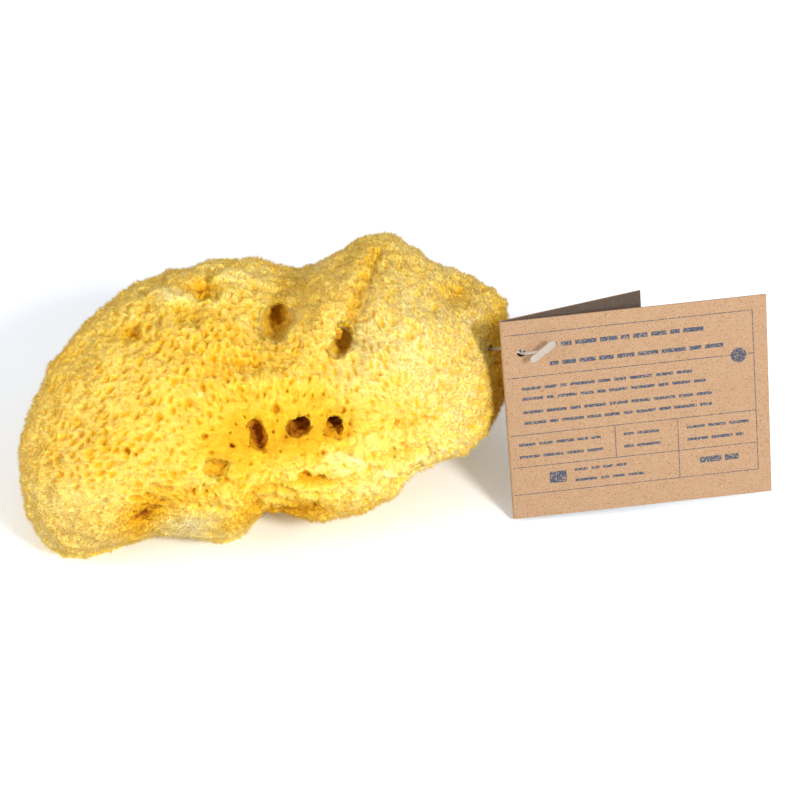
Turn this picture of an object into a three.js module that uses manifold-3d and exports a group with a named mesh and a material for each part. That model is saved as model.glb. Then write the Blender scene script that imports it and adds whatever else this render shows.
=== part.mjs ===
// A bath sponge from the sea, trimmed flat where it grew on its rock, with the folded card tag that it is
// sold with and the nylon pin that holds the tag on. Millimetres, +Z up, -Y is the front.
// The origin is on the sponge's flat base, which it rests on.
import * as THREE from "three";
import { mergeVertices } from "three/addons/utils/BufferGeometryUtils.js";
import Module from "manifold-3d";

const wasm = await Module();
wasm.setup();
const { degToRad } = THREE.MathUtils;

// ---- Driving dimensions ----

// The sponge is a lumpy cushion. Its broad face looks to the front and up, and the face's own axes are
// x to the right, y up the slope of the face and z straight out of it.
const sponge = {
  middle: [0, -2, 38], // where the face's axes start
  faceElevation: 40, // degrees that the face's z stands above the ground
  frontBulge: 34, // how far the face bulges out over its rim
  backBulge: 47, // how far the underside bulges the other way, before the base is trimmed
  detail: 17, // divisions of each icosahedron edge
  core: [0, 8, 28], // a point well inside, in the part's own axes
};

// The rim round the face: [degrees anticlockwise from x, distance from the middle].
const rim = [
  [0, 73.8], [12, 76.2], [22, 79.8], [28, 76.4], [38, 68.2], [47, 65.2], [54, 63.9], [62, 55.2],
  [69, 47.6], [78, 41.2], [92, 43.4], [110, 45.6], [130, 51], [140, 55.2], [158, 61.4], [172, 68.9],
  [186, 75.2], [200, 80.6], [212, 81.8], [220, 77.3], [229, 58.6], [240, 50.5], [256, 46.4], [271, 36],
  [284, 39.2], [300, 44.5], [318, 49.7], [332, 51.7], [347, 67.3],
];

// Where the rim lies in front of the face's middle plane or behind it: the far side lies well back,
// the near and far sides droop, and so does the right end, from the given x on.
const rimLie = { middle: -8, slope: -0.28, droop: -0.0026, rightEnd: { from: 30, droop: -0.005 } };

// Swells and hollows of the face: at [x, y], spread [along, across], turned by degrees, raised by height.
const swells = [
  { at: [-46, -8], spread: [20, 20], turn: 0, height: 3 }, // the big left lobe
  { at: [-20, 30], spread: [15, 9], turn: 12, height: 2.5 }, // the lobe at the upper left
  { at: [46, 14], spread: [18, 17], turn: 0, height: 4 }, // the right lobe
  { at: [33, 41], spread: [9, 6], turn: 50, height: 2.5 }, // the peak at the top
  { at: [17.5, 25], spread: [9, 4.4], turn: 76, height: 1.8 }, // the lip beside the fold
  { at: [-58, -38], spread: [14, 9], turn: -20, height: 3 }, // the foot at the lower left
  { at: [18, -24], spread: [26, 6], turn: 10, height: 2.4 }, // the shelf along the bottom of the face
  { at: [2, 38], spread: [6, 15], turn: -14, height: -6.5 }, // the valley between the two upper lobes
  { at: [1, 20], spread: [7, 9], turn: -14, height: -3 }, // the basin round the largest opening
  { at: [22, 12], spread: [6, 7], turn: 0, height: -1.6 }, // the dip at the foot of the fold
  { at: [59, 33], spread: [5, 4.5], turn: 30, height: -5 }, // the cup near the upper right edge
  { at: [-22, 29], spread: [4, 4.4], turn: 0, height: -4.5 }, // the pocket in the upper left lobe
  { at: [-41, 20], spread: [3.6, 3], turn: 20, height: -3 }, // two small dips left of the pocket
  { at: [-34, 28], spread: [3, 2.2], turn: 20, height: -2.4 },
  { at: [-7, 41], spread: [5, 3], turn: 0, height: -2.5 },
  { at: [8, -10], spread: [26, 7], turn: 4, height: -2.4 }, // the band where the row of openings lies
  { at: [-32, -32], spread: [8, 7], turn: 40, height: -4 }, // the recess over the left foot
  { at: [-9, -38], spread: [8, 4.2], turn: 20, height: -3 }, // two recesses under the bottom edge
  { at: [9, -35], spread: [10, 4], turn: 8, height: -3 },
  { at: [47, -14], spread: [3, 9], turn: 20, height: -1.6 },
];

// The fold that runs down the face from the notch beside the peak.
const fold = { points: [[28, 37], [26, 29], [24, 20]], width: 4.6, depth: 3.2 };

// The openings that water left by: at [x, y] on the face, half sizes [wide, high], turned by degrees, how
// deep they go, and the way they slant as they go in, [right, up] for each millimetre of depth.
const openings = [
  { at: [3.3, 21.7], half: [3.6, 4.8], turn: -18, depth: 15, slant: [-0.1, 0.25] },
  { at: [22.3, 15.2], half: [2.2, 4.2], turn: -14, depth: 11, slant: [0.1, 0.2] },
  { at: [10.2, -9.6], half: [3.1, 2.3], turn: 24, depth: 15, slant: [0.05, 0.35] },
  { at: [20.7, -9.7], half: [2.3, 3], turn: 10, depth: 12, slant: [0, 0.3] },
  { at: [-1.6, -12], half: [2.6, 4.6], turn: 4, depth: 8, slant: [-0.1, 0.2] },
  { at: [-14.2, -21.8], half: [3.2, 1.7], turn: 8, depth: 5, slant: [0.2, 0.2] },
];

// Openings on the sides that the face doesn't show, by their direction from the sponge's core.
const hiddenOpenings = [
  { towards: [-0.35, 0.85, 0.4], half: 4.2, depth: 12, turn: 20 },
  { towards: [0.12, 0.9, 0.42], half: 3, depth: 10, turn: 20 },
  { towards: [0.5, 0.75, 0.3], half: 3.8, depth: 9, turn: 20 },
  { towards: [-0.75, 0.6, 0.1], half: 3.2, depth: 9, turn: 20 },
];

// Broad lumps all over: wave length along each axis and height.
const lumps = { lengths: [31, 27, 24], height: 1.3, thickness: 20 };

// The card tag: one sheet of board folded down its left side, with a short flap behind its face.
const card = {
  foot: [75.6, -17.3, 1.35], // the bottom of the fold, just off the ground
  width: 79.4,
  height: 65.5,
  flap: 45.5,
  board: 0.5,
  foldRadius: 0.3, // inside the bend
  flapOpening: 15.8, // degrees between the face and the flap
  yaw: 4.8, // degrees that the face turns away from straight ahead
  lean: 16, // degrees that it leans back
  roll: 3.4, // degrees that the face's free end is lifted
  holeAt: [5.1, 55], // from the foot of the fold
  holeRadius: 1.3,
};

// The tag pin: a flat head, a filament and a cross bar, moulded in one.
const pin = {
  head: [9.4, 2.1, 1.1],
  headEdge: 0.2, // of the rounding round the head
  headTurn: 36, // degrees that it slants up to the right
  // from the head to the card's hole and through it, measured from the hole along the card's axes
  route: [[6.2, 1.4, 4], [2.8, 0.9, 2.8], [0.2, 0, 0.5], [-0.1, 0, -2.8]],
  entry: 0.55, // how far along from the hole to the anchor the filament has straightened
  filament: 0.45, // radius
  bar: { length: 8.4, radius: 0.75 },
  anchor: [58, 23, 35.5], // the middle of the cross bar, inside the sponge
  clearance: 0.45, // between the pin and what it passes through
};

// ---- Shapes ----

function toSolid(geometry) {
  const bare = geometry.clone();
  bare.deleteAttribute("normal");
  bare.deleteAttribute("uv");
  const merged = mergeVertices(bare, 1e-4);
  return new wasm.Manifold(
    new wasm.Mesh({
      numProp: 3,
      vertProperties: merged.attributes.position.array,
      triVerts: new Uint32Array(merged.index.array),
    }),
  );
}

function toGeometry(solid) {
  const { vertProperties, triVerts } = solid.getMesh();
  const geometry = new THREE.BufferGeometry();
  geometry.setAttribute("position", new THREE.BufferAttribute(vertProperties, 3));
  geometry.setIndex(new THREE.BufferAttribute(triVerts, 1));
  geometry.computeVertexNormals();
  return geometry;
}

// The rim's distance at any angle, as a smooth closed curve through its points.
const rimCurve = (() => {
  const first = rim.slice(0, 2).map(([degrees, distance]) => [degrees + 360, distance]);
  const last = rim.slice(-2).map(([degrees, distance]) => [degrees - 360, distance]);
  const points = [...last, ...rim, ...first];
  const degrees = points.map((point) => point[0]);
  const distances = points.map((point) => point[1]);
  return new THREE.CubicInterpolant(degrees, distances, 1, new Float32Array(1));
})();

function rimDistance(angle) {
  const degrees = THREE.MathUtils.euclideanModulo(THREE.MathUtils.radToDeg(angle), 360);
  return rimCurve.evaluate(degrees)[0];
}

function rimDepth(x, y) {
  const beyond = Math.max(0, x - rimLie.rightEnd.from);
  return rimLie.middle + rimLie.slope * y + rimLie.droop * y * y + rimLie.rightEnd.droop * beyond * beyond;
}

function swellHeight(x, y) {
  let height = 0;
  for (const swell of swells) {
    const turn = degToRad(swell.turn);
    const dx = x - swell.at[0];
    const dy = y - swell.at[1];
    const along = (dx * Math.cos(turn) + dy * Math.sin(turn)) / swell.spread[0];
    const across = (dy * Math.cos(turn) - dx * Math.sin(turn)) / swell.spread[1];
    height += swell.height * Math.exp(-(along * along + across * across) / 2);
  }
  return height;
}

const foldLine = fold.points.map(([x, y]) => new THREE.Vector3(x, y, 0));

function foldDepth(x, y) {
  const here = new THREE.Vector3(x, y, 0);
  const nearest = new THREE.Vector3();
  let distance = Infinity;
  for (let i = 0; i + 1 < foldLine.length; i++) {
    new THREE.Line3(foldLine[i], foldLine[i + 1]).closestPointToPoint(here, true, nearest);
    distance = Math.min(distance, nearest.distanceTo(here));
  }
  return fold.depth * Math.exp(-((distance / fold.width) ** 2));
}

// How far the face stands out at [x, y]: 1 in the middle, 0 at the rim.
function dome(across) {
  return Math.pow(Math.max(0, 1 - Math.pow(across, 2.5)), 0.55);
}

function faceHeight(x, y) {
  const across = Math.min(1, Math.hypot(x, y) / rimDistance(Math.atan2(y, x)));
  const relief = (swellHeight(x, y) - foldDepth(x, y)) * Math.min(1, 3 * dome(across));
  return rimDepth(x, y) + sponge.frontBulge * dome(across) + relief;
}

function lumpHeight(point) {
  const [a, b, c] = lumps.lengths.map((length) => (2 * Math.PI) / length);
  const across = Math.sin(a * point.x + 1.1) * Math.sin(b * point.y + 0.4);
  const through = Math.sin(c * point.z + 0.3 * a * point.x);
  return (lumps.height * (across + through)) / 2;
}

// From the face's axes to the part's own.
const faceToPart = new THREE.Matrix4()
  .makeRotationX(degToRad(90 - sponge.faceElevation))
  .setPosition(...sponge.middle);

function spongeBody() {
  const geometry = new THREE.IcosahedronGeometry(1, sponge.detail);
  const position = geometry.attributes.position;
  const point = new THREE.Vector3();
  for (let i = 0; i < position.count; i++) {
    point.fromBufferAttribute(position, i).normalize();
    const across = Math.min(1, Math.hypot(point.x, point.y));
    const angle = Math.atan2(point.y, point.x);
    const x = rimDistance(angle) * across * Math.cos(angle);
    const y = rimDistance(angle) * across * Math.sin(angle);
    const back = rimDepth(x, y) - sponge.backBulge * dome(across);
    const lump = lumpHeight(new THREE.Vector3(x, y, lumps.thickness * point.z)) * dome(across);
    const z = point.z > 0 ? faceHeight(x, y) + lump : back - lump;
    position.setXYZ(i, x, y, z);
  }
  geometry.applyMatrix4(faceToPart);
  return toSolid(geometry);
}

// An egg-shaped hole with its mouth at the origin, going down -z.
function hole(halfWide, halfHigh, depth, turn, slant) {
  const geometry = new THREE.SphereGeometry(1, 16, 12);
  geometry.scale(halfWide, halfHigh, depth);
  geometry.rotateZ(degToRad(turn));
  return geometry.applyMatrix4(new THREE.Matrix4().makeShear(0, 0, 0, 0, -slant[0], -slant[1]));
}

function faceOpening(opening) {
  const [x, y] = opening.at;
  const geometry = hole(...opening.half, opening.depth, opening.turn, opening.slant);
  geometry.translate(x, y, faceHeight(x, y));
  return toSolid(geometry.applyMatrix4(faceToPart));
}

// The place where a line from the sponge's core towards a direction leaves the body.
function surfaceTowards(body, towards) {
  const caster = new THREE.Raycaster();
  const mesh = new THREE.Mesh(toGeometry(body), new THREE.MeshBasicMaterial({ side: THREE.DoubleSide }));
  caster.set(new THREE.Vector3(...sponge.core), towards);
  return caster.intersectObject(mesh).at(-1).point;
}

function hiddenOpening(body, opening) {
  const towards = new THREE.Vector3(...opening.towards).normalize();
  const geometry = hole(opening.half, opening.half * 1.3, opening.depth, opening.turn, [0, 0]);
  geometry.applyQuaternion(new THREE.Quaternion().setFromUnitVectors(new THREE.Vector3(0, 0, 1), towards));
  geometry.translate(...surfaceTowards(body, towards));
  return toSolid(geometry);
}

function ground() {
  const size = 400;
  return toSolid(new THREE.BoxGeometry(size, size, size).translate(0, 0, -size / 2));
}

// From the card's own axes, x along its bottom edge, y up the fold and z out of its face, to the part's.
const cardToPart = new THREE.Matrix4()
  .makeTranslation(...card.foot)
  .multiply(new THREE.Matrix4().makeRotationZ(degToRad(card.yaw)))
  .multiply(new THREE.Matrix4().makeRotationX(degToRad(90 - card.lean)))
  .multiply(new THREE.Matrix4().makeRotationZ(degToRad(card.roll)));

function cardTag() {
  const open = degToRad(card.flapOpening);
  const inner = card.foldRadius;
  const outer = inner + card.board;
  const middle = new THREE.Vector2(0, card.board / 2 + inner); // of the bend, behind the face
  const out = new THREE.Vector2(Math.cos(open), Math.sin(open)).multiplyScalar(card.flap);
  const bendEnd = Math.PI / 2 + open;
  const outerEnd = new THREE.Vector2(outer * Math.cos(bendEnd), outer * Math.sin(bendEnd)).add(middle);
  const innerEnd = new THREE.Vector2(inner * Math.cos(bendEnd), inner * Math.sin(bendEnd)).add(middle);
  const section = new THREE.Shape();
  section.moveTo(card.width, -card.board / 2);
  section.lineTo(card.width, card.board / 2);
  section.lineTo(0, card.board / 2);
  section.absarc(middle.x, middle.y, inner, -Math.PI / 2, bendEnd, true);
  section.lineTo(innerEnd.x + out.x, innerEnd.y + out.y);
  section.lineTo(outerEnd.x + out.x, outerEnd.y + out.y);
  section.lineTo(outerEnd.x, outerEnd.y);
  section.absarc(middle.x, middle.y, outer, bendEnd, -Math.PI / 2, false);
  const options = { depth: card.height, bevelEnabled: false, curveSegments: 12 };
  const sheet = new THREE.ExtrudeGeometry(section, options);
  sheet.rotateX(-Math.PI / 2);
  const drill = new THREE.CylinderGeometry(card.holeRadius, card.holeRadius, 8, 16);
  drill.rotateX(Math.PI / 2).translate(...card.holeAt, 0);
  return toGeometry(toSolid(sheet).subtract(toSolid(drill))).applyMatrix4(cardToPart);
}

// The filament's line: out of the head, through the card and down into the sponge.
function pinPath() {
  const hole = new THREE.Vector3(...card.holeAt, 0);
  const onCard = pin.route.map((point) => new THREE.Vector3(...point).add(hole).applyMatrix4(cardToPart));
  const anchor = new THREE.Vector3(...pin.anchor);
  const entry = onCard.at(-1).clone().lerp(anchor, pin.entry);
  return new THREE.CatmullRomCurve3([...onCard, entry, anchor]);
}

function pinBar(grow) {
  const { length, radius } = pin.bar;
  const along = pinPath().getTangent(1);
  const across = new THREE.Vector3(0, 0, 1).cross(along).normalize();
  const bar = new THREE.CylinderGeometry(radius + grow, radius + grow, length + 2 * grow, 12);
  bar.applyQuaternion(new THREE.Quaternion().setFromUnitVectors(new THREE.Vector3(0, 1, 0), across));
  return toSolid(bar.translate(...pin.anchor));
}

function pinFilament(grow) {
  const section = new THREE.Shape().absarc(0, 0, pin.filament + grow, 0, 2 * Math.PI, false);
  const options = { extrudePath: pinPath(), steps: 24, curveSegments: 4 };
  return toSolid(new THREE.ExtrudeGeometry(section, options));
}

function pinHead() {
  const [long, wide, thick] = pin.head;
  const round = wide / 2;
  const outline = new THREE.Shape();
  outline.absarc(long / 2 - round, 0, round, -Math.PI / 2, Math.PI / 2, false);
  outline.absarc(round - long / 2, 0, round, Math.PI / 2, 1.5 * Math.PI, false);
  const bevel = pin.headEdge;
  const edge = { bevelThickness: bevel, bevelSize: bevel, bevelOffset: -bevel, bevelSegments: 1 };
  const depth = thick - 2 * bevel;
  const head = new THREE.ExtrudeGeometry(outline, { depth, curveSegments: 6, ...edge });
  head.translate(0, 0, -depth / 2);
  head.rotateZ(degToRad(pin.headTurn));
  head.translate(...pin.route[0]);
  head.translate(...card.holeAt, 0);
  return toSolid(head.applyMatrix4(cardToPart));
}

function trimmedSponge() {
  let body = spongeBody();
  for (const opening of hiddenOpenings) body = body.subtract(hiddenOpening(body, opening));
  for (const opening of openings) body = body.subtract(faceOpening(opening));
  const way = pinFilament(pin.clearance).add(pinBar(pin.clearance));
  return toGeometry(body.subtract(ground()).subtract(way));
}

function tagPin() {
  return toGeometry(pinFilament(0).add(pinBar(0)).add(pinHead()));
}

// ---- The assembly ----

function piece(name, geometry, color, roughness) {
  const mesh = new THREE.Mesh(geometry, new THREE.MeshStandardMaterial({ color, roughness, metalness: 0 }));
  mesh.name = name;
  return mesh;
}

const spongeWithTag = new THREE.Group();
spongeWithTag.add(piece("sponge", trimmedSponge(), 0xf2cf5e, 1));
spongeWithTag.add(piece("card_tag", cardTag(), 0xc9a47c, 0.9));
spongeWithTag.add(piece("tag_pin", tagPin(), 0xeceae4, 0.35));

export default spongeWithTag;
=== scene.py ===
import math
import bmesh
import bpy
import numpy as np
from mathutils import Matrix, Vector, noise
from mathutils.bvhtree import BVHTree
from mathutils.kdtree import KDTree


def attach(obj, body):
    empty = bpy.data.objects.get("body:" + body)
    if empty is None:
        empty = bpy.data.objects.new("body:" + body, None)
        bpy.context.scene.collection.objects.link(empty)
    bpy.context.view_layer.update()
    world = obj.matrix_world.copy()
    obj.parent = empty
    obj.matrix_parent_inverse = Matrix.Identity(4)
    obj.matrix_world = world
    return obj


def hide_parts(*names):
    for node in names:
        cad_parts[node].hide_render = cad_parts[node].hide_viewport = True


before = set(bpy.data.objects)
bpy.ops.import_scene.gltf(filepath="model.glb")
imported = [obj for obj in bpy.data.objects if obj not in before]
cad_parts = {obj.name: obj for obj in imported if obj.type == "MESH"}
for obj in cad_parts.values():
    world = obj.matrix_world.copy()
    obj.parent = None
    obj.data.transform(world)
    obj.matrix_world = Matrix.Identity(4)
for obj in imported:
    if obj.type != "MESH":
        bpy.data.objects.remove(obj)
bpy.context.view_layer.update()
mm = 0.001


def linear(hexColour):
    # an sRGB colour as the linear red, green, blue and alpha that a socket takes
    parts = [int(hexColour[i:i + 2], 16) / 255 for i in (1, 3, 5)]
    return [c / 12.92 if c <= 0.04045 else ((c + 0.055) / 1.055) ** 2.4 for c in parts] + [1.0]


def addNode(tree, kind, inputs=None, links=None, **settings):
    # inputs: socket -> value, links: socket -> output socket of another node
    node = tree.nodes.new(kind)
    for name, value in settings.items():
        setattr(node, name, value)
    for name, value in (inputs or {}).items():
        node.inputs[name].default_value = value
    for name, output in (links or {}).items():
        tree.links.new(output, node.inputs[name])
    return node


def newMaterial(name):
    material = bpy.data.materials.new(name)
    material.use_nodes = True
    material.node_tree.nodes.clear()
    return material, material.node_tree


def smoothStep(low, high, value):
    t = np.clip((value - low) / (high - low), 0, 1)
    return t * t * (3 - 2 * t)


def addPiece(name, mesh):
    piece = bpy.data.objects.new(name, mesh)
    bpy.context.scene.collection.objects.link(piece)
    return piece


def readVectors(collection, key):
    values = np.empty(len(collection) * 3, np.float32)
    collection.foreach_get(key, values)
    return values.reshape(-1, 3).astype(float)


def unit(vectors):
    return vectors / np.maximum(np.linalg.norm(vectors, axis=1, keepdims=True), 1e-12)


def treeOf(points):
    tree = KDTree(len(points))
    for i, point in enumerate(points):
        tree.insert(point, i)
    tree.balance()
    return tree


# the sponge: its broad face looks to the front and up. The face's axes are x to the right, y up its slope
# and z out of it, in millimetres

sponge = {
    "node": "sponge",
    "middle": (0, -2 * mm, 38 * mm),  # where the face's axes start
    "faceElevation": 40,              # degrees
    "voxel": 0.45,                    # of the skin's mesh while it is worked
    "skinTriangles": 197000,          # that the skin keeps
    "hollowReach": 13,                # how far a hollow's walls are felt
    "thinnest": 0.4,                  # share of the thickness that relief may take away
    "seed": 11,
    "pitTries": 70000,
    "tuftTries": 300000,
    "tuftSpacing": 1.12,
    "fibrePieces": 5,
    "fibresPerPiece": 49500,
    "fibreWidth": 0.14,
    "gather": 0.42,                   # how far the fibres of a tuft lean together
    "sideInset": 1.0,                 # how much lower the skin lies on the sides than on the face
    "baseBand": 0.35,                 # no fibres grow on the cut underside, up to this height
}
faceToPart = (Matrix.Translation(sponge["middle"])
              @ Matrix.Rotation(math.radians(90 - sponge["faceElevation"]), 4, "X"))
faceTurn = np.array(faceToPart.to_3x3())
rng = np.random.default_rng(sponge["seed"])
noise.seed_set(sponge["seed"])  # noise vectors start from the clock if this isn't set


def onFace(points):
    return (points - np.array(sponge["middle"])) @ faceTurn / mm


# how the surface is made in each part of the face: pits so far apart (mm) and so wide, how deep the gaps
# between the tufts of the pile are, how long both are across their rows, how strong its fine ridges are, how
# deep the pile is and how close its fibres, how torn it is and how pale
everywhere = {"spacing": 2.8, "pit": 0.66, "gap": 0.16, "stretch": 0.5, "grain": 0.4, "pile": 1.1, "fuzz": 1.0,
              "torn": 0.15, "pale": 0.7}
regions = [
    # the pitted left lobe
    {"at": (-44, -8), "spread": (22, 19), "turn": 0, "spacing": 2.9, "pit": 0.98, "gap": 0.08, "stretch": 0.62,
     "grain": 0.2, "pile": 0.9, "fuzz": 0.9, "torn": 0.12, "pale": 0.64},
    # its smoother rim
    {"at": (-74, 2), "spread": (6, 22), "turn": 0, "spacing": 3.2, "pit": 0.5, "gap": 0.12, "stretch": 0.7,
     "grain": 0.2, "pile": 1.1, "fuzz": 1.3, "torn": 0.05, "pale": 0.73},
    # the velvety foot
    {"at": (-60, -36), "spread": (15, 8), "turn": -20, "spacing": 3.8, "pit": 0.34, "gap": 0.1, "stretch": 0.7,
     "grain": 0.15, "pile": 1.1, "fuzz": 1.3, "torn": 0.05, "pale": 0.79},
    # torn lumps at the upper left
    {"at": (-25, 29), "spread": (17, 7), "turn": 10, "spacing": 2.8, "pit": 0.7, "gap": 0.2, "stretch": 0.7,
     "grain": 0.5, "pile": 0.9, "fuzz": 0.7, "torn": 1.2, "pale": 0.71},
    # the scaly middle
    {"at": (-6, 9), "spread": (15, 9), "turn": 10, "spacing": 2.2, "pit": 0.74, "gap": 0.3, "stretch": 0.55,
     "grain": 0.8, "pile": 0.9, "fuzz": 0.8, "torn": 0.6, "pale": 0.6},
    # the smooth amber band where the openings lie
    {"at": (4, -11), "spread": (19, 7), "turn": 4, "spacing": 4.2, "pit": 0.5, "gap": 0.12, "stretch": 0.8,
     "grain": 0.25, "pile": 0.5, "fuzz": 0.15, "torn": 0.35, "pale": 0.34},
    # the flutes above it
    {"at": (3, 2), "spread": (9, 3.5), "turn": 0, "spacing": 4.0, "pit": 0.5, "gap": 0.15, "stretch": 0.6,
     "grain": 2.2, "pile": 0.6, "fuzz": 0.3, "torn": 0.4, "pale": 0.46},
    # fine rows of the right lobe
    {"at": (46, 16), "spread": (18, 19), "turn": 0, "spacing": 2.8, "pit": 0.64, "gap": 0.14, "stretch": 0.34,
     "grain": 0.8, "pile": 1.1, "fuzz": 1.1, "torn": 0.1, "pale": 0.84},
    # the smooth ridge right of the largest opening
    {"at": (16, 32), "spread": (8, 8), "turn": 30, "spacing": 2.8, "pit": 0.4, "gap": 0.14, "stretch": 0.6,
     "grain": 0.5, "pile": 1.1, "fuzz": 1.2, "torn": 0.1, "pale": 0.69},
    # the torn cream shelf
    {"at": (32, -19), "spread": (17, 7), "turn": 14, "spacing": 3.2, "pit": 0.6, "gap": 0.3, "stretch": 0.6,
     "grain": 0.6, "pile": 0.6, "fuzz": 0.5, "torn": 1.4, "pale": 0.84},
    {"at": (0, -29), "spread": (17, 4), "turn": 6, "spacing": 3.2, "pit": 0.62, "gap": 0.3, "stretch": 0.7,
     "grain": 0.4, "pile": 0.6, "fuzz": 0.4, "torn": 1.3, "pale": 0.54},
    # the pale lobe at the bottom
    {"at": (-20, -41), "spread": (10, 4), "turn": 0, "spacing": 3.2, "pit": 0.42, "gap": 0.14, "stretch": 0.7,
     "grain": 0.4, "pile": 1.1, "fuzz": 1.0, "torn": 0.2, "pale": 0.98},
]
# places with a colour of their own, the brown-fibred recess and a white flake, and places darkened as painted
# shade: the yellow and amber recesses, the pockets and the card's shadow on the sponge's right end
tintsAndShades = [
    {"at": (-35.5, -36.5), "spread": (6, 3.6), "turn": 40, "tone": -0.3},
    # painted shade in the yellow recesses under the shelf and the cup of the upper right
    {"at": (-8.5, -40), "spread": (8, 2.6), "turn": 20, "tone": -0.16},
    {"at": (9, -35), "spread": (9, 2.6), "turn": 4, "tone": -0.16},
    {"at": (59, 33), "spread": (4, 3.4), "turn": 30, "tone": -0.14},
    {"at": (-19, 0.3), "spread": (1.3, 0.6), "turn": 10, "tone": 0.3},
    # painted shadow: the card's shadow on the sponge's right end, drawn wider than the card casts it
    {"at": (73, 6), "spread": (4.5, 16), "turn": 0, "tone": -0.36},
    # painted shade in the pockets at the upper left
    {"at": (-19.5, 33.6), "spread": (3, 1.8), "turn": 0, "tone": -0.14},
    {"at": (-40.5, 19), "spread": (2.4, 1.6), "turn": 0, "tone": -0.12},
    {"at": (-36.5, 26.4), "spread": (2, 1.4), "turn": 0, "tone": -0.12},
    {"at": (40, -8), "spread": (12, 7), "turn": 0, "tone": -0.08},
]
# rows of pits run away from these points
rowSources = [{"at": (46, -6), "spread": 30}, {"at": (-95, -32), "spread": 70}, {"at": (4, -16), "spread": 30}]
grainSize = {"long": 3.6, "wide": 1.15}
# single pores and pockets: their place on the face, radius and depth
pores = [((-17, -12), 0.9, 2.5), ((-9.1, -15), 1.0, 3), ((17.8, -16.8), 1.0, 3),
         ((-21.4, -29.6), 0.9, 2.5), ((-14, -30), 0.7, 2), ((3.7, -4.3), 1.7, 1.6),
         ((-40, -16.4), 1.3, 2.6), ((-37.5, -17.5), 0.9, 2.2), ((52.5, 4.1), 0.9, 2.2),
         ((39.8, -8.3), 0.9, 2.4), ((34, 6.4), 0.8, 2), ((12.3, -24.4), 2.2, 2.8),
         ((10.4, -26.2), 1.4, 2.2), ((-22.9, 8.8), 0.8, 2), ((-37, 26), 1.7, 3),
         ((-35.2, 26.8), 1.1, 2.2), ((-20.5, 34.6), 2.2, 3.4), ((-20, 31.4), 1.8, 3),
         ((-41.4, 19.4), 1.6, 2.4), ((-39.4, 18.4), 1.6, 2.4), ((-26.5, 26.6), 1.2, 2),
         ((-55, -11.3), 1.3, 2.4), ((-52.6, -13), 1.1, 2.2), ((58.4, 33.6), 1.7, 2.4),
         ((23.4, -4.6), 1.2, 2.6), ((24.4, -2.2), 0.8, 2.2), ((-35.8, -36.6), 3.0, 2.6),
         ((-31.6, -34.6), 2.0, 1.8)]
# broad ledges and hollows of the face, in millimetres out of it
forms = [
    {"at": (-24, 30), "spread": (9, 1.6), "turn": -4, "height": 2.6},       # torn ledge at the upper left
    {"at": (-19, 33.4), "spread": (3.4, 1.8), "turn": 0, "height": -2.4},   # pocket over it
    {"at": (-26, 24), "spread": (9, 2.4), "turn": 4, "height": -2.2},       # hollow under it
    {"at": (-41, 20), "spread": (4, 1.6), "turn": 20, "height": -2.2},
    {"at": (-8, 37), "spread": (5, 3), "turn": 0, "height": 1.8},           # lump on the upper rim
    {"at": (4, 32), "spread": (2.6, 7), "turn": -15, "height": -1.4},       # valley from the notch
    {"at": (-3.8, 9), "spread": (6, 2.4), "turn": 10, "height": -1.2},      # dark dip of the middle
    {"at": (-4, 15), "spread": (9, 2.2), "turn": 12, "height": 1.0},
    {"at": (4, -13), "spread": (17, 4.5), "turn": 4, "height": -1.8},       # the amber band
    {"at": (3, 4.5), "spread": (10, 1.8), "turn": 0, "height": 1.2},        # brow over it
    {"at": (18, -20.6), "spread": (8, 1.3), "turn": 4, "height": 1.4},      # torn flaps at the lower right
    {"at": (17.3, -24.6), "spread": (4.4, 1.7), "turn": 0, "height": -3.0},
    {"at": (31, -22.6), "spread": (8, 0.9), "turn": 16, "height": -1.4},
    {"at": (36, -18.6), "spread": (7, 0.8), "turn": 14, "height": -1.2},
    {"at": (41.4, -11), "spread": (0.8, 4), "turn": 4, "height": -1.4},
    {"at": (25, -9), "spread": (0.9, 6), "turn": -8, "height": -1.2},
    {"at": (0, -26.6), "spread": (14, 1.0), "turn": 5, "height": -1.2},
    {"at": (-12, -40), "spread": (7, 2.0), "turn": 20, "height": -2.8},     # yellow recesses under the shelf
    {"at": (9.2, -34.6), "spread": (8, 1.8), "turn": 4, "height": -3.2},
    {"at": (-36, -37), "spread": (4.4, 2.8), "turn": 40, "height": -2.6},   # the brown one
    {"at": (57.8, 33), "spread": (3, 2.4), "turn": 20, "height": -2.2},     # cup of the upper right
    {"at": (51, 27), "spread": (3, 1.4), "turn": 50, "height": -1.0},
    {"at": (36, 45), "spread": (8, 5), "turn": 0, "height": -1.8},          # behind the top of the fold
]
# the crease of the fold, down the face from the notch
crease = {"points": [(33, 44), (30.4, 38.5), (27, 32), (25.4, 25), (22.8, 20)], "width": 1.1, "depth": 1.2,
          "step": 1.5, "reach": 5}


def placeWeight(place, x, y):
    turn = math.radians(place.get("turn", 0))
    dx, dy = x - place["at"][0], y - place["at"][1]
    along = (dx * math.cos(turn) + dy * math.sin(turn)) / place["spread"][0]
    across = (dy * math.cos(turn) - dx * math.sin(turn)) / place["spread"][1]
    return np.exp(-(along ** 2 + across ** 2) / 2)


def facingAt(normals):
    # 1 on the face, 0 on the sides that turn away from it
    return smoothStep(-0.15, 0.35, (normals @ faceTurn)[:, 2])


def surfaceAt(points, normals):
    # each property of the surface, blended between the regions of the face and what is usual elsewhere
    wander = noiseVectorsAt(points, 6) * 2.5 * mm
    x, y, _ = onFace(points + wander).T
    facing = facingAt(normals)
    weights = [placeWeight(region, x, y) ** 1.5 * 2.2 * facing for region in regions]
    total = 0.45 + sum(weights)
    return {key: (0.45 * value + sum(w * r[key] for w, r in zip(weights, regions))) / total
            for key, value in everywhere.items()}


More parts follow.
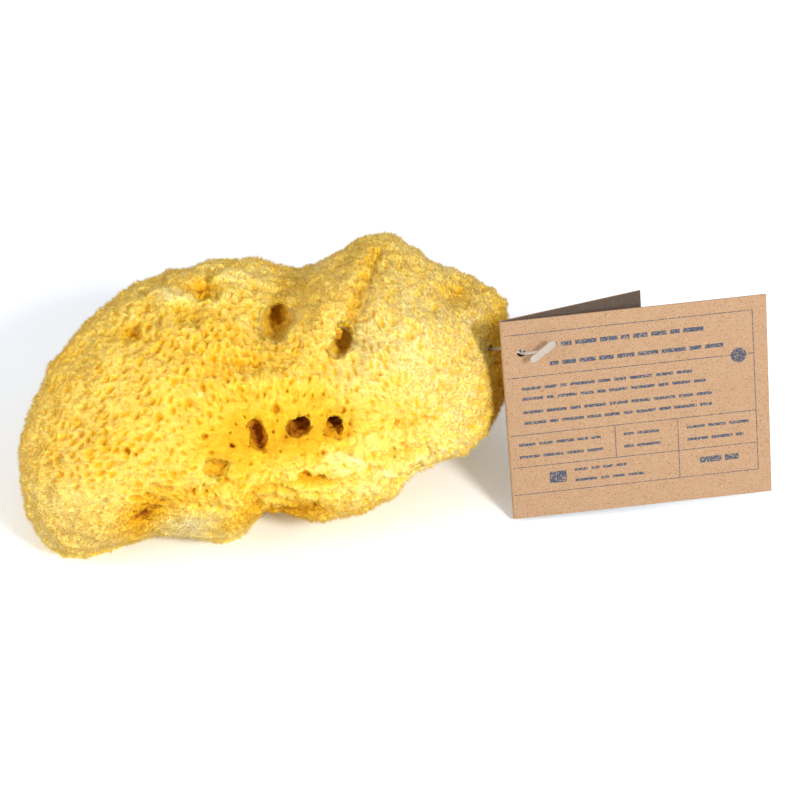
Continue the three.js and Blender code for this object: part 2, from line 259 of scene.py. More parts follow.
def rowsAt(points, normals):
    # the direction of the rows, along the surface
    local = onFace(points)
    flow = np.zeros_like(local)
    for source in rowSources:
        away = local[:, :2] - source["at"]
        distance = np.linalg.norm(away, axis=1)
        near = np.exp(-(distance / source["spread"]) ** 2)
        flow[:, :2] += away / np.maximum(distance, 1)[:, None] * near[:, None]
    flow = flow @ faceTurn.T
    flow += 1e-4
    flow -= normals * np.sum(flow * normals, axis=1, keepdims=True)
    return unit(flow)


def creaseAt(points, normals):
    # how deep it is in the crease, and the step up from its left side to its right
    local = onFace(points + noiseVectorsAt(points, 4) * 1.6 * mm)[:, :2]
    nearest = np.full(len(local), 1e9)
    side = np.zeros(len(local))
    ends = np.array(crease["points"], float)
    for a, b in zip(ends[:-1], ends[1:]):
        t = np.clip((local - a) @ (b - a) / ((b - a) @ (b - a)), 0, 1)
        gap = local - a - t[:, None] * (b - a)
        away = np.linalg.norm(gap, axis=1)
        turned = (b - a)[0] * gap[:, 1] - (b - a)[1] * gap[:, 0]
        side = np.where(away < nearest, np.sign(turned), side)
        nearest = np.minimum(nearest, away)
    facing = facingAt(normals)
    step = np.clip(side * nearest / 0.6, -1, 1) * np.exp(-(nearest / crease["reach"]) ** 2)
    return np.exp(-(nearest / crease["width"]) ** 2) * facing, step * facing


def grainAt(points):
    # fine ridges that run away from the same places as the rows, from -1 to 1
    local = onFace(points)
    total = np.zeros(len(local))
    weight = np.full(len(local), 0.02)
    for k, source in enumerate(rowSources):
        away = local[:, :2] - source["at"]
        distance = np.linalg.norm(away, axis=1)
        around = away / np.maximum(distance, 1)[:, None] * source["spread"] * 0.6 / grainSize["wide"]
        onward = (distance + local[:, 2]) / grainSize["long"] + 17 * k  # its own part of the noise
        near = np.exp(-(distance / source["spread"]) ** 2)
        total += near * np.array([noise.noise(p) for p in np.column_stack([around, onward])])
        weight += near
    return total / weight


def noiseAt(points, size, offset=0.0):
    # smooth noise from -1 to 1, with features of that size in millimetres
    scaled = points / (size * mm) + offset
    return np.array([noise.noise(p) for p in scaled])


def noiseVectorsAt(points, size):
    return np.array([noise.noise_vector(p) for p in points / (size * mm)])


def copyOfNode(node, name):
    # a node's mesh is loose triangles, so the copy is merged first
    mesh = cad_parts[node].data.copy()
    mesh.name = name
    work = bmesh.new()
    work.from_mesh(mesh)
    bmesh.ops.remove_doubles(work, verts=work.verts, dist=0.002 * mm)
    work.to_mesh(mesh)
    work.free()
    return mesh


def applyModifiers(piece):
    graph = bpy.context.evaluated_depsgraph_get()
    mesh = bpy.data.meshes.new_from_object(piece.evaluated_get(graph))
    piece.modifiers.clear()
    piece.data = mesh


def smoothOver(mesh, values, times):
    # each vertex's value averaged with its neighbours', some times over
    edges = np.empty(len(mesh.edges) * 2, np.int32)
    mesh.edges.foreach_get("vertices", edges)
    a, b = edges.reshape(-1, 2).T
    count = np.bincount(a, minlength=len(values)) + np.bincount(b, minlength=len(values)) + 1
    columns = values.reshape(len(values), -1)
    for _ in range(times):
        columns = np.stack([(column + np.bincount(a, column[b], len(column))
                             + np.bincount(b, column[a], len(column))) / count for column in columns.T], axis=1)
    return columns.reshape(values.shape)


def hollowAt(tree, points, normals):
    # how much of the sky over each point is shut in by near walls: 0 in the open, near 1 deep in an opening
    reach = sponge["hollowReach"] * mm
    spins = [(0, 0)] + [(math.radians(40), math.radians(72 * k)) for k in range(5)]
    spins += [(math.radians(66), math.radians(60 * k + 20)) for k in range(6)]
    side = unit(np.cross(normals, (0.31, 0.2, 0.93)))
    other = np.cross(normals, side)
    closed = np.zeros(len(points))
    starts = [Vector(p) for p in points + normals * 0.5 * mm]
    for tilt, spin in spins:
        ways = (normals * math.cos(tilt) + side * math.sin(tilt) * math.cos(spin)
                + other * math.sin(tilt) * math.sin(spin))
        for i, (start, way) in enumerate(zip(starts, ways)):
            hit = tree.ray_cast(start, way, reach)
            if hit[3] is not None:
                closed[i] += 1 - hit[3] / reach
    return closed / len(spins)


def thicknessAt(tree, points, normals):
    # how far it is straight in from each point to the next wall
    reach = 20 * mm
    starts = points - normals * 0.4 * mm
    hits = [tree.ray_cast(Vector(p), Vector(n), reach)[3] for p, n in zip(starts, -normals)]
    return np.array([reach if hit is None else hit for hit in hits])


def samplesOn(corners, count, weights=None):
    # random points on triangles, with the triangle and the corner weights of each
    area = np.linalg.norm(np.cross(corners[:, 1] - corners[:, 0], corners[:, 2] - corners[:, 0]), axis=1)
    share = area if weights is None else area * weights
    chosen = rng.choice(len(corners), count, p=share / share.sum())
    a, b = rng.random((2, count))
    flip = a + b > 1
    a[flip], b[flip] = 1 - a[flip], 1 - b[flip]
    parts = np.stack([1 - a - b, a, b], axis=1)
    return np.einsum("nk,nkc->nc", parts, corners[chosen]), chosen, parts


def spreadOut(points, spacing, rows, stretch):
    # keeps the points that are at least their spacing from those kept before, less far across the rows
    cell = spacing.max()
    kept, grid = [], {}
    keys = np.floor(points / cell).astype(int)
    steps = [(i, j, k) for i in (-1, 0, 1) for j in (-1, 0, 1) for k in (-1, 0, 1)]
    for n, (point, key) in enumerate(zip(points, map(tuple, keys))):
        near = [m for s in steps for m in grid.get((key[0] + s[0], key[1] + s[1], key[2] + s[2]), ())]
        if near:
            gap = points[near] - point
            across = np.einsum("nc,nc->n", gap, gap)
            along = gap @ rows[n]
            if (across - (1 - stretch[n] ** 2) * along ** 2).min() < (spacing[n] * stretch[n] ** 0.5) ** 2:
                continue
        grid.setdefault(key, []).append(n)
        kept.append(n)
    return np.array(kept)


print("sponge: skin")
skinMesh = copyOfNode("sponge", "spongeSkin")
outline = BVHTree.FromPolygons([v.co for v in skinMesh.vertices], [p.vertices for p in skinMesh.polygons])
skin = addPiece("spongeSkin", skinMesh)
remesh = skin.modifiers.new("voxels", "REMESH")
remesh.mode = "VOXEL"
remesh.voxel_size = sponge["voxel"] * mm
remesh.use_smooth_shade = True
applyModifiers(skin)
skinMesh = skin.data
rest = readVectors(skinMesh.vertices, "co")
normals = readVectors(skinMesh.vertices, "normal")
print("sponge: skin", len(rest), "vertices")
flatNormals = unit(smoothOver(skinMesh, normals, 18))
hollow = smoothOver(skinMesh, hollowAt(outline, rest, normals), 2)
thickness = smoothOver(skinMesh, thicknessAt(outline, rest, normals), 1)
surface = surfaceAt(rest, flatNormals)
print("sponge: hollow", np.percentile(hollow, [50, 80, 90, 95, 99, 100]).round(2))

# the pits
skinMesh.calc_loop_triangles()
triangles = np.empty(len(skinMesh.loop_triangles) * 3, np.int32)
skinMesh.loop_triangles.foreach_get("vertices", triangles)
triangles = triangles.reshape(-1, 3)


def blended(values, chosen, parts):
    picked = values[triangles[chosen]]
    return np.einsum("nk,nk->n", parts, picked) if values.ndim == 1 else np.einsum("nk,nkc->nc", parts, picked)


def scattered(tries, spacing, radius):
    # hollows spread over the skin, long across their rows
    places, chosen, parts = samplesOn(rest[triangles], tries)
    rows = rowsAt(places, unit(blended(flatNormals, chosen, parts)))
    apart = blended(spacing, chosen, parts) * rng.uniform(0.75, 1.2, len(places)) * mm
    stretch = blended(surface["stretch"], chosen, parts)
    kept = spreadOut(places, apart, rows, stretch)
    wide = blended(radius, chosen, parts)[kept] * rng.uniform(0.4, 1.35, len(kept)) * mm
    return {"at": places[kept], "rows": rows[kept], "stretch": stretch[kept], "radius": wide,
            "depth": np.minimum(wide * 1.3, 1.5 * mm)}


def addPit(at, radius, depth):
    # a nearly round one, at a place of its own
    pits["at"] = np.vstack([pits["at"], at])
    pits["rows"] = np.vstack([pits["rows"], (1, 0, 0)])
    pits["stretch"] = np.append(pits["stretch"], 0.95)
    pits["radius"] = np.append(pits["radius"], radius)
    pits["depth"] = np.append(pits["depth"], depth)


pits = scattered(sponge["pitTries"], surface["spacing"], surface["pit"])
for (x, y), radius, depth in pores:
    start = faceToPart @ Vector((x * mm, y * mm, 80 * mm))
    hit = outline.ray_cast(start, faceToPart.to_3x3() @ Vector((0, 0, -1)))
    addPit(hit[0], radius * mm, depth * mm)
pitTree = treeOf(pits["at"])
tufts = scattered(sponge["tuftTries"], np.full(len(rest), sponge["tuftSpacing"]), surface["gap"])
tufts["high"] = rng.uniform(0.7, 1.15, len(tufts["at"]))
tufts["tone"] = rng.normal(0, 0.035, len(tufts["at"]))
tuftTree = treeOf(tufts["at"])
print("sponge: pits", len(pits["at"]), "tufts", len(tufts["at"]))


def tuftAt(points):
    # the tuft that each point belongs to, and how near the point is to the gap around it, from 0 to 1
    points = points + noiseVectorsAt(points, 1.3) * 0.15 * mm
    found = [tuftTree.find_n(p, 5) for p in points]
    index = np.array([[f[1] for f in row] for row in found])
    nearest = np.full(len(points), 1e9)
    which = index[:, 0]
    for n in index.T:
        gap = points - tufts["at"][n]
        along = np.einsum("nc,nc->n", gap, tufts["rows"][n])
        square = np.einsum("nc,nc->n", gap, gap) - (1 - tufts["stretch"][n] ** 2) * along ** 2
        which = np.where(square < nearest, n, which)
        nearest = np.minimum(nearest, square)
    reach = sponge["tuftSpacing"] * mm * tufts["stretch"][which] ** 0.5
    return which, smoothStep(0.25, 0.85, np.sqrt(np.maximum(nearest, 0)) / reach)


def pitAt(points):
    # how far into a pit each point lies, from 0 outside to 1 at its middle, its depth, and the way out of it
    inside = np.zeros(len(points))
    depth = np.zeros(len(points))
    out = np.zeros_like(points)
    points = points + noiseVectorsAt(points, 1.7) * 0.5 * mm
    found = [pitTree.find_n(p, 4) for p in points]
    index = np.array([[f[1] for f in row] for row in found])
    for n in index.T:
        gap = points - pits["at"][n]
        along = np.einsum("nc,nc->n", gap, pits["rows"][n])
        square = np.einsum("nc,nc->n", gap, gap) - (1 - pits["stretch"][n] ** 2) * along ** 2
        share = 1 - np.sqrt(np.maximum(square, 0)) / (pits["radius"][n] * 1.25)
        better = share > inside
        inside = np.where(better, share, inside)
        depth = np.where(better, pits["depth"][n], depth)
        out[better] = gap[better]
    return smoothStep(0, 0.75, inside), depth, unit(out)


# how the skin is worked, in millimetres
relief = {
    "swells": [(10.5, 1.1, 0), (5.1, 0.9, 7.3), (2.4, 0.5, 3.7)],  # lumps: size, height, noise's start
    "shakes": [(2.6, 0.3, 0.6), (1.3, 0.2, 0.4)],  # size, reach, and how much more at the openings' lips
    "gap": 1.6,                # depth of the gaps between tufts, for a gap of 1
    "torn": 2.4,               # height of the torn ledges, for a torn of 1
    "grain": 0.45,             # height of the fine ridges, for a grain of 1
    "outward": 0.3,            # how far the skin may stand out of the solid on the sides
    "outwardOnFace": 1.0,      # and how much further on the face
}
inPit, pitDepth, _ = pitAt(rest)
_, inGap = tuftAt(rest)
shut = smoothStep(0.28, 0.62, hollow)
lip = np.clip(1.5 * smoothOver(skinMesh, shut, 7), 0, 1)
pileHere = surface["pile"] * (1 - 0.55 * lip)
skinInset = smoothOver(skinMesh, surface["pile"] * (1 - 0.7 * smoothStep(0.3, 0.58, hollow)), 6)
ragged = rest + noiseVectorsAt(rest, 3) * 1.2 * mm + noiseVectorsAt(rest, 1.2) * 0.5 * mm
tornShape = (0.6 * smoothStep(-0.07, 0.07, noiseAt(ragged * (0.8, 1, 1.3), 7.5, 1.3))
             + 0.4 * smoothStep(-0.09, 0.09, noiseAt(ragged, 3.4, 9.1)) - 0.5)
grain = np.clip(grainAt(rest + noiseVectorsAt(rest, 5) * 0.8 * mm) * 2.2, -1, 1)
onFaceX, onFaceY, onFaceZ = onFace(rest).T
deepCrease, creaseStep = creaseAt(rest, flatNormals)
swell = sum(height * noiseAt(rest, size, start) for size, height, start in relief["swells"])
facing = facingAt(flatNormals)
lift = (-skinInset - pitDepth / mm * inPit * (1 - 0.8 * shut)
        - relief["gap"] * surface["gap"] * inGap * (1 - shut)
        + swell * (1 - 0.5 * lip) + surface["torn"] * tornShape * relief["torn"]
        + surface["grain"] * grain * relief["grain"]
        - crease["depth"] * deepCrease - crease["step"] * creaseStep - sponge["sideInset"] * (1 - facing))
farthest = relief["outward"] + relief["outwardOnFace"] * facing - skinInset
lift = np.clip(lift, -sponge["thinnest"] * thickness / mm, farthest)
shift = sum(form["height"] * placeWeight(form, onFaceX, onFaceY) for form in forms)
shift = shift * smoothStep(-22, -6, onFaceZ)
onBase = smoothStep(0.2 * mm, 1.8 * mm, rest[:, 2])
shake = sum(noiseVectorsAt(rest, size) * (reach + more * lip)[:, None]
            for size, reach, more in relief["shakes"])
moved = rest + (normals * lift[:, None] + shake + shift[:, None] * faceTurn[:, 2]) * onBase[:, None] * mm
moved[:, 2] = np.maximum(moved[:, 2], 0.02 * mm)
skinMesh.vertices.foreach_set("co", moved.astype(np.float32).ravel())
skinMesh.update()
movedNormals = readVectors(skinMesh.vertices, "normal")

# tone: from 0, the brown painted deep inside as shade, through amber and yellow to 1, the cream of dry fibres.
# What makes it paler, and what darker. The darkening near, in and deep in the openings, in the crease, in the
# pits and in the gaps between the tufts is painted shade
# the shift term is painted light and shade: raised forms paler, sunken ones darker
paler = {"shift": 0.045, "cloud": 0.06, "mottle": 0.05, "torn": 0.12, "grain": 0.06}
darker = {"nearOpening": 0.1, "inOpening": 0.07, "deepInOpening": 0.1, "crease": 0.16, "pit": 0.26, "gap": 0.5}
tintedAndShaded = sum(tint["tone"] * placeWeight(tint, onFaceX, onFaceY) for tint in tintsAndShades) * facing
tone = (surface["pale"] + tintedAndShaded + paler["shift"] * shift
        - darker["nearOpening"] * smoothStep(0.1, 0.3, hollow) - darker["inOpening"] * shut
        - darker["deepInOpening"] * smoothStep(0.5, 0.85, hollow)
        + paler["cloud"] * noiseAt(rest, 12, 2.0) + paler["mottle"] * noiseAt(rest, 2.5, 5.0)
        + paler["torn"] * surface["torn"] * tornShape + paler["grain"] * surface["grain"] * grain
        - darker["crease"] * deepCrease)
gapShade = darker["gap"] * surface["gap"]
# painted shade: darker in the pits and in the gaps between the tufts
skinTone = np.clip(tone - darker["pit"] * inPit - gapShade * inGap, 0.02, 1)


def growFibres(name, count):
    corners = moved[triangles]
    middle = rest[triangles].mean(axis=1)
    weights = np.where(middle[:, 2] < sponge["baseBand"] * mm, 0.0, 1.0)
    facing = facingAt(flatNormals[triangles].mean(axis=1))
    weights = weights * (0.7 + 0.5 * facing) * surface["fuzz"][triangles].mean(axis=1)
    weights = weights * (1 + 0.5 * grain[triangles].mean(axis=1))
    roots, chosen, parts = samplesOn(corners, int(count * 1.8), weights)
    origin = blended(rest, chosen, parts)
    inside, _, out = pitAt(origin)
    tuft, between = tuftAt(origin)
    closed = blended(shut, chosen, parts)
    keep = rng.random(len(roots)) > np.maximum(np.maximum(inside * 0.8, between * 0.5), closed * 0.45)
    keep &= np.cumsum(keep) <= count
    roots, chosen, parts, origin = roots[keep], chosen[keep], parts[keep], origin[keep]
    inside, out, tuft, between = inside[keep], out[keep], tuft[keep], between[keep]
    n = len(roots)
    up = unit(blended(flatNormals, chosen, parts) + 0.35 * unit(blended(movedNormals, chosen, parts)))
    pile = blended(pileHere, chosen, parts)
    long = np.where(rng.random(n) < 0.12, 1.5, 1.0)
    length = pile * tufts["high"][tuft] * rng.uniform(0.85, 1.1, n) * long * (1 - 0.6 * inside) * mm
    tips = roots + unit(up + rng.normal(0, 0.09, roots.shape)) * length[:, None]
    # the fibres of a tuft lean together, and away from the pits
    inward = tufts["at"][tuft] - origin
    inward -= up * np.sum(inward * up, axis=1, keepdims=True)
    tips += inward * sponge["gather"] + out * inside[:, None] * 0.3 * mm
    tips[:, 2] = np.maximum(tips[:, 2], 0.05 * mm)
    side = unit(np.cross(up, rng.normal(0, 1, roots.shape)))
    other = np.cross(up, side)
    width = sponge["fibreWidth"] * mm * rng.uniform(0.7, 1.3, n) / 2
    base = roots - up * 0.2 * mm
    ring = [base + (side * math.cos(a) + other * math.sin(a)) * width[:, None]
            for a in (0, 2 * math.pi / 3, 4 * math.pi / 3)]
    points = np.stack(ring + [tips], axis=1).reshape(-1, 3)
    first = (np.arange(n) * 4)[:, None, None]
    faces = (np.array([[0, 2, 1], [0, 1, 3], [1, 2, 3], [2, 0, 3]])[None] + first).reshape(-1, 3)
    mesh = bpy.data.meshes.new(name)
    mesh.vertices.add(len(points))
    mesh.vertices.foreach_set("co", points.astype(np.float32).ravel())
    mesh.loops.add(faces.size)
    mesh.loops.foreach_set("vertex_index", faces.astype(np.int32).ravel())
    mesh.polygons.add(len(faces))
    mesh.polygons.foreach_set("loop_start", np.arange(0, faces.size, 3, dtype=np.int32))
    mesh.update(calc_edges=True)
    # the fibres take the same painted shade in the pits and the gaps between the tufts
    toneHere = blended(tone, chosen, parts) - darker["pit"] * inside - blended(gapShade, chosen, parts) * between
    toneHere += tufts["tone"][tuft] + rng.normal(0, 0.02, n) + 0.05
    along = np.tile([0.02, 0.02, 0.02, 0.98], n)
    spread = np.tile([-0.006, 0.006, 0.0, 0.0], n)
    u = np.repeat(np.clip(toneHere, 0.02, 0.98), 4) + spread
    uv = mesh.uv_layers.new(name="OFBake")
    corner = faces.ravel()
    uv.data.foreach_set("uv", np.stack([u[corner], along[corner]], axis=1).astype(np.float32).ravel())
    return mesh


print("sponge: fibres")
fibres = []
for i in range(sponge["fibrePieces"]):
    mesh = growFibres(f"spongeFibres{i + 1}", sponge["fibresPerPiece"])
    fibres.append(addPiece(f"spongeFibres{i + 1}", mesh))
    print("sponge: fibres", i + 1, len(mesh.polygons), "triangles")

# the worked skin is thinned to the triangles that its shape needs
thin = skin.modifiers.new("thin", "DECIMATE")
thin.ratio = sponge["skinTriangles"] / len(triangles)
applyModifiers(skin)
skinMesh = skin.data
movedTree = treeOf(moved)
toneThere = skinTone[[movedTree.find(v.co)[1] for v in skinMesh.vertices]]
skinMesh.attributes.new("tone", "FLOAT", "POINT").data.foreach_set("value", toneThere.astype(np.float32))
print("sponge: skin", len(skinMesh.polygons), "faces")

# spongin, the dry horny fibre of a bath sponge, honey yellow and dull; its amber to brown end gives the painted
# shade deep inside
spongeTones = [(0.0, "#702E08"), (0.14, "#B46A06"), (0.28, "#E0A614"), (0.42, "#EDBA2A"), (0.56, "#F4CC4C"),
               (0.7, "#F8DA70"), (0.84, "#FAE699"), (1.0, "#FDF2D0")]


def toneRamp(tree, value):
    ramp = addNode(tree, "ShaderNodeValToRGB", links={"Fac": value})
    elements = ramp.color_ramp.elements
    elements[0].position, elements[0].color = spongeTones[0][0], linear(spongeTones[0][1])
    elements[1].position, elements[1].color = spongeTones[-1][0], linear(spongeTones[-1][1])
    for position, colour in spongeTones[1:-1]:
        elements.new(position).color = linear(colour)
    return ramp


def fibreMaterial():
    # thin enough that some light comes through: the mix with a translucent shader gives the glow
    material, tree = newMaterial("spongin fibre")
    uv = addNode(tree, "ShaderNodeUVMap", uv_map="OFBake")
    parts = addNode(tree, "ShaderNodeSeparateXYZ", links={"Vector": uv.outputs["UV"]})
    depth = addNode(tree, "ShaderNodeMath", operation="MULTIPLY_ADD", inputs={1: 0.3, 2: -0.17},
                    links={0: parts.outputs["Y"]})
    toneHere = addNode(tree, "ShaderNodeMath", operation="ADD",
                       links={0: parts.outputs["X"], 1: depth.outputs[0]})
    ramp = toneRamp(tree, toneHere.outputs[0])
    shader = addNode(tree, "ShaderNodeBsdfPrincipled", inputs={"Roughness": 0.85, "IOR": 1.45,
                     "Specular IOR Level": 0.2}, links={"Base Color": ramp.outputs["Color"]})
    through = addNode(tree, "ShaderNodeBsdfTranslucent", links={"Color": ramp.outputs["Color"]})
    both = addNode(tree, "ShaderNodeMixShader", inputs={"Fac": 0.4},
                   links={1: shader.outputs["BSDF"], 2: through.outputs["BSDF"]})
    addNode(tree, "ShaderNodeOutputMaterial", links={"Surface": both.outputs["Shader"]})
    return material


def skinMaterial():
    material, tree = newMaterial("spongin skin")
    toneHere = addNode(tree, "ShaderNodeAttribute", attribute_name="tone")
    where = addNode(tree, "ShaderNodeTexCoord")
    grain = addNode(tree, "ShaderNodeTexNoise", inputs={"Scale": 1 / (0.5 * mm), "Detail": 3},
                    links={"Vector": where.outputs["Object"]})
    mixed = addNode(tree, "ShaderNodeMath", operation="MULTIPLY_ADD", inputs={1: 0.14},
                    links={0: grain.outputs["Fac"], 2: toneHere.outputs["Fac"]})
    centred = addNode(tree, "ShaderNodeMath", operation="SUBTRACT", inputs={1: 0.07},
                      links={0: mixed.outputs[0]})
    ramp = toneRamp(tree, centred.outputs[0])
    bump = addNode(tree, "ShaderNodeBump", inputs={"Strength": 0.5, "Distance": 0.3 * mm},
                   links={"Height": grain.outputs["Fac"]})
    shader = addNode(tree, "ShaderNodeBsdfPrincipled", inputs={"Roughness": 0.85, "IOR": 1.45,
                     "Specular IOR Level": 0.2, "Subsurface Weight": 0.7, "Subsurface Radius": (1.6, 0.9, 0.25),
                     "Subsurface Scale": mm},
                     links={"Base Color": ramp.outputs["Color"], "Normal": bump.outputs["Normal"]})
    addNode(tree, "ShaderNodeOutputMaterial", links={"Surface": shader.outputs["BSDF"]})
    return material


skinMesh.materials.clear()
skinMesh.materials.append(skinMaterial())
fibreFinish = fibreMaterial()
for piece in fibres:
    piece.data.materials.append(fibreFinish)
for piece in [skin] + fibres:
    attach(piece, "root")
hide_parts("sponge")

# the card tag: the same places as in the solids

card = {
    "foot": (75.6 * mm, -17.3 * mm, 1.35 * mm),  # the bottom of the fold
    "yaw": 4.8, "lean": 16, "roll": 3.4,       # degrees
    "board": 0.5,
    "ruleWidth": 0.22,
    "film": 0.03,                              # how far the ink stands on the board, enough to stay apart
    # rules: from one place to another, measured from the foot of the fold
    "rules": [((0.4, 61), (75, 61)), ((0.4, 47), (75, 47)), ((0.3, 28), (75.2, 28)),
              ((0.2, 17.2), (75.3, 17.2)), ((0.2, 8), (75.5, 8)), ((75, 61), (75.5, 8)),
              ((32, 28), (32, 17.2)), ((51.2, 28), (51.2, 8))],
    "dot": ((70.5, 46.8), 2.4),
    # plain dashes where a tag has lines of print: y, first x, last x and height
    "dashes": [(56.7, 13.5, 62, 1.4), (50.7, 13.5, 66, 1.3), (43.2, 4.5, 57, 0.95), (39.8, 4.5, 62, 0.95),
               (35.4, 4.5, 62, 0.95), (31.8, 4.5, 63, 0.95), (24.7, 2.5, 29, 0.9), (20.6, 2.5, 28, 0.9),
               (24.7, 34.5, 46, 0.9), (20.6, 34.5, 47, 0.9), (24.7, 54, 73, 0.9), (20.6, 54, 72, 0.9),
               (14.6, 19, 36, 0.85), (11, 19, 41, 0.85), (13.2, 57.5, 69.5, 1.9)],
    "block": ((11.2, 12.8), (16.4, 12.8), 3.8),
    "seed": 3,
}
cardTurn = (Matrix.Rotation(math.radians(card["yaw"]), 3, "Z")
            @ Matrix.Rotation(math.radians(90 - card["lean"]), 3, "X")
            @ Matrix.Rotation(math.radians(card["roll"]), 3, "Z"))
cardToPart = Matrix.Translation(card["foot"]) @ cardTurn.to_4x4()


def inkBar(work, start, end, width):
    # a flat bar of ink on the card's face
    start, end = Vector(start), Vector(end)
    middle = (start + end) / 2
    run = end - start
    turn = Matrix.Rotation(math.atan2(run.y, run.x), 4, "Z")
    scale = Matrix.Diagonal((run.length * mm, width * mm, 2 * card["film"] * mm, 1))
    place = Matrix.Translation((middle.x * mm, middle.y * mm, card["board"] / 2 * mm))
    bmesh.ops.create_cube(work, size=1, matrix=cardToPart @ place @ turn @ scale)


def printedCard():
    work = bmesh.new()
    for start, end in card["rules"]:
        inkBar(work, start, end, card["ruleWidth"])
    lengths = np.random.default_rng(card["seed"])
    for y, x, last, height in card["dashes"]:
        while x < last - 1.5:
            end = min(x + lengths.uniform(2, 7.5), last)
            inkBar(work, (x, y), (end, y), height)
            x = end + 1.1
    inkBar(work, *card["block"])
    (x, y), radius = card["dot"]
    place = Matrix.Translation((x * mm, y * mm, card["board"] / 2 * mm))
    bmesh.ops.create_cone(work, cap_ends=True, segments=32, radius1=radius * mm, radius2=radius * mm,
                          depth=2 * card["film"] * mm, matrix=cardToPart @ place)
    mesh = bpy.data.meshes.new("cardPrint")
    work.to_mesh(mesh)
    work.free()
    return addPiece("cardPrint", mesh)


print("card: print")
cardPrint = printedCard()
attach(cardPrint, "root")


def fleckedBoard(tree, base, dark, light):
    # brown board with darker and paler fibres pressed into it
    where = addNode(tree, "ShaderNodeTexCoord")
    cloud = addNode(tree, "ShaderNodeTexNoise", inputs={"Scale": 1 / (3.5 * mm), "Detail": 4},
                    links={"Vector": where.outputs["Object"]})
    fine = addNode(tree, "ShaderNodeTexNoise", inputs={"Scale": 1 / (0.45 * mm), "Detail": 2},
                   links={"Vector": where.outputs["Object"]})
    darker = addNode(tree, "ShaderNodeMapRange", inputs={"From Min": 0.56, "From Max": 0.7},
                     links={"Value": fine.outputs["Fac"]})
    paler = addNode(tree, "ShaderNodeMapRange", inputs={"From Min": 0.44, "From Max": 0.3},
                    links={"Value": fine.outputs["Fac"]})
    clouded = addNode(tree, "ShaderNodeMapRange", inputs={"From Min": 0.3, "From Max": 0.7, "To Max": 0.35},
                      links={"Value": cloud.outputs["Fac"]})
    first = addNode(tree, "ShaderNodeMix", data_type="RGBA", inputs={6: linear(base), 7: linear(light)},
                    links={0: clouded.outputs["Result"]})
    second = addNode(tree, "ShaderNodeMix", data_type="RGBA", inputs={7: linear(dark)},
                     links={0: darker.outputs["Result"], 6: first.outputs[2]})
    third = addNode(tree, "ShaderNodeMix", data_type="RGBA", inputs={7: linear(light)},
                    links={0: paler.outputs["Result"], 6: second.outputs[2]})
    return third, fine


def kraftMaterial():
    # uncoated kraft board: dull, warm brown, with visible fibres
    material, tree = newMaterial("kraft board")
    colour, fine = fleckedBoard(tree, "#A58362", "#8C6B4D", "#B29274")
    bump = addNode(tree, "ShaderNodeBump", inputs={"Strength": 0.35, "Distance": 0.06 * mm},
                   links={"Height": fine.outputs["Fac"]})
    shader = addNode(tree, "ShaderNodeBsdfPrincipled", inputs={"Roughness": 0.88, "IOR": 1.5,
                     "Specular IOR Level": 0.25},
                     links={"Base Color": colour.outputs[2], "Normal": bump.outputs["Normal"]})
    addNode(tree, "ShaderNodeOutputMaterial", links={"Surface": shader.outputs["BSDF"]})
    return material


def paintedShadeInsideMaterial():
    # painted shade: the card's inside in a dull dark brown that shows the board's flecks, for the shade between
    # the face and the flap
    material, tree = newMaterial("kraft board in painted shade")
    colour, fine = fleckedBoard(tree, "#5E4E43", "#51433A", "#6A594D")
    shader = addNode(tree, "ShaderNodeBsdfPrincipled", inputs={"Roughness": 0.8, "IOR": 1.5,
                     "Specular IOR Level": 0.25}, links={"Base Color": colour.outputs[2]})
    addNode(tree, "ShaderNodeOutputMaterial", links={"Surface": shader.outputs["BSDF"]})
    return material


def inkMaterial():
    # dark blue-grey printing ink that has sunk into the board unevenly, so it is broken here and there
    material, tree = newMaterial("printing ink")
    where = addNode(tree, "ShaderNodeTexCoord")
    patch = addNode(tree, "ShaderNodeTexNoise", inputs={"Scale": 1 / (0.5 * mm), "Detail": 2},
                    links={"Vector": where.outputs["Object"]})
    missing = addNode(tree, "ShaderNodeMapRange", inputs={"From Min": 0.5, "From Max": 0.62},
                      links={"Value": patch.outputs["Fac"]})
    colour = addNode(tree, "ShaderNodeMix", data_type="RGBA",
                     inputs={6: linear("#363D50"), 7: linear("#8A7764")},
                     links={0: missing.outputs["Result"]})
    shader = addNode(tree, "ShaderNodeBsdfPrincipled", inputs={"Roughness": 0.7, "IOR": 1.5},
                     links={"Base Color": colour.outputs[2]})
    addNode(tree, "ShaderNodeOutputMaterial", links={"Surface": shader.outputs["BSDF"]})
    return material


def nylonMaterial():
    # milky natural nylon: a soft shine, and light comes through a little
    material, tree = newMaterial("natural nylon")
    where = addNode(tree, "ShaderNodeTexCoord")
    cloud = addNode(tree, "ShaderNodeTexNoise", inputs={"Scale": 1 / (1.5 * mm), "Detail": 2},
                    links={"Vector": where.outputs["Object"]})
    colour = addNode(tree, "ShaderNodeMix", data_type="RGBA",
                     inputs={6: linear("#CDC0B2"), 7: linear("#DFD6CB")},
                     links={0: cloud.outputs["Fac"]})
    shader = addNode(tree, "ShaderNodeBsdfPrincipled", inputs={"Roughness": 0.38, "IOR": 1.53,
                     "Transmission Weight": 0.55, "Subsurface Weight": 0.3,
                     "Subsurface Radius": (1.0, 1.0, 0.9), "Subsurface Scale": mm},
                     links={"Base Color": colour.outputs[2]})
    addNode(tree, "ShaderNodeOutputMaterial", links={"Surface": shader.outputs["BSDF"]})
    return material


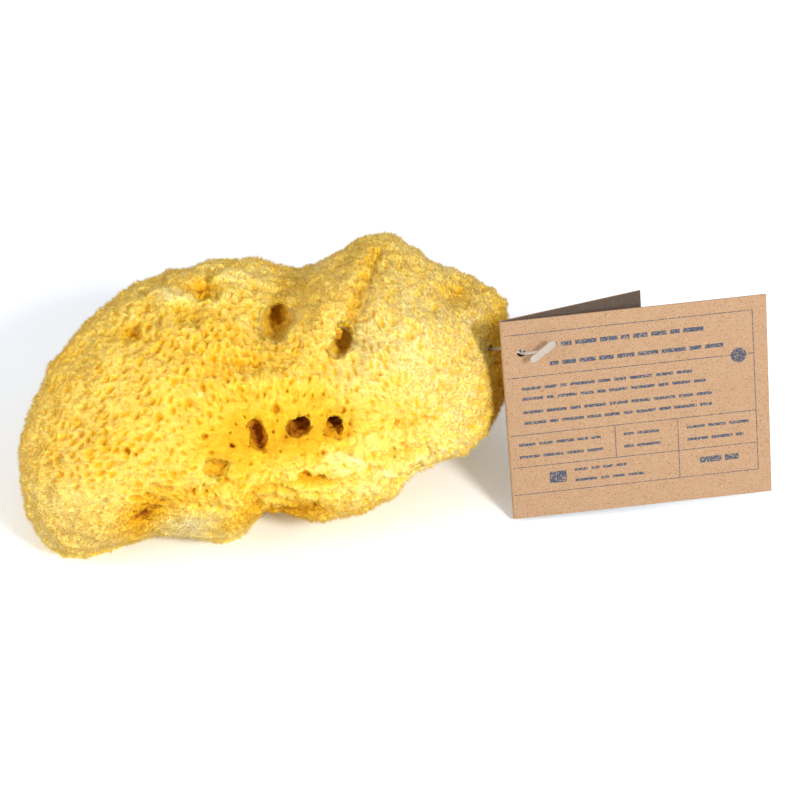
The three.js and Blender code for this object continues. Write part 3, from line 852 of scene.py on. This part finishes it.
def insideOfCard(mesh):
    # the faces that look into the fold, the back of the face and the front of the flap, which take the painted
    # shade
    toCard = cardToPart.inverted()
    turn = toCard.to_3x3()
    for face in mesh.polygons:
        depth = (toCard @ face.center).z / mm
        out = (turn @ face.normal).z
        behindFace = abs(depth + card["board"] / 2) < 0.02 and out < -0.9
        onFlap = depth < -card["board"] and out > 0.9
        face.material_index = 1 if behindFace or onFlap else 0


def finishNode(node, finishes):
    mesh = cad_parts[node].data
    mesh.materials.clear()
    for finish in finishes:
        mesh.materials.append(finish)
    return mesh


cardPrint.data.materials.append(inkMaterial())
# the card's inside takes the painted shade
insideOfCard(finishNode("card_tag", [kraftMaterial(), paintedShadeInsideMaterial()]))
finishNode("tag_pin", [nylonMaterial()])

# floor, light and camera
print("studio")


def paperMaterial():
    # matt white background paper, lit a little from below so that shadows on it stay pale
    material, tree = newMaterial("white paper")
    shader = addNode(tree, "ShaderNodeBsdfPrincipled", inputs={"Base Color": linear("#FCFCFC"),
                     "Roughness": 0.9, "Emission Color": (0.55, 0.8, 1.0, 1), "Emission Strength": 0.05})
    addNode(tree, "ShaderNodeOutputMaterial", links={"Surface": shader.outputs["BSDF"]})
    return material


floorMesh = bpy.data.meshes.new("floor")
work = bmesh.new()
bmesh.ops.create_grid(work, x_segments=1, y_segments=1, size=4)
work.to_mesh(floorMesh)
work.free()
floor = bpy.data.objects.new("floor", floorMesh)
bpy.context.scene.collection.objects.link(floor)
floorMesh.materials.append(paperMaterial())

studio = {"sky": 0.74, "key": 20.6, "keyPlace": (0.86, -1.02, 0.96), "keySize": 0.36,
          "fill": 10.4, "fillPlace": (-1.35, -0.6, 0.82), "fillSize": 0.9}
world = bpy.data.worlds.new("studio")
bpy.context.scene.world = world
world.use_nodes = True
world.node_tree.nodes["Background"].inputs["Color"].default_value = (0.95, 0.985, 1.05, 1)
world.node_tree.nodes["Background"].inputs["Strength"].default_value = studio["sky"]


def areaLight(name, place, aim, size, watts):
    data = bpy.data.lights.new(name, "AREA")
    data.shape = "DISK"
    data.size = size
    data.energy = watts
    lamp = bpy.data.objects.new(name, data)
    lamp.location = place
    lamp.rotation_euler = (Vector(aim) - Vector(place)).to_track_quat("-Z", "Y").to_euler()
    bpy.context.scene.collection.objects.link(lamp)


areaLight("key", studio["keyPlace"], (0.02, 0, 0.03), studio["keySize"], studio["key"])
areaLight("fill", studio["fillPlace"], (0.02, 0, 0.03), studio["fillSize"], studio["fill"])

camera = {"aim": (0.040, -0.003, 0.0369), "distance": 0.8, "elevation": 40, "lens": 119}
lens = bpy.data.cameras.new("camera")
lens.lens = camera["lens"]
view = bpy.data.objects.new("camera", lens)
tilt = math.radians(camera["elevation"])
view.location = Vector(camera["aim"]) + Vector((0, -math.cos(tilt), math.sin(tilt))) * camera["distance"]
view.rotation_euler = (math.pi / 2 - tilt, 0, 0)
bpy.context.scene.collection.objects.link(view)
bpy.context.scene.camera = view
bpy.context.scene.view_settings.view_transform = "Standard"
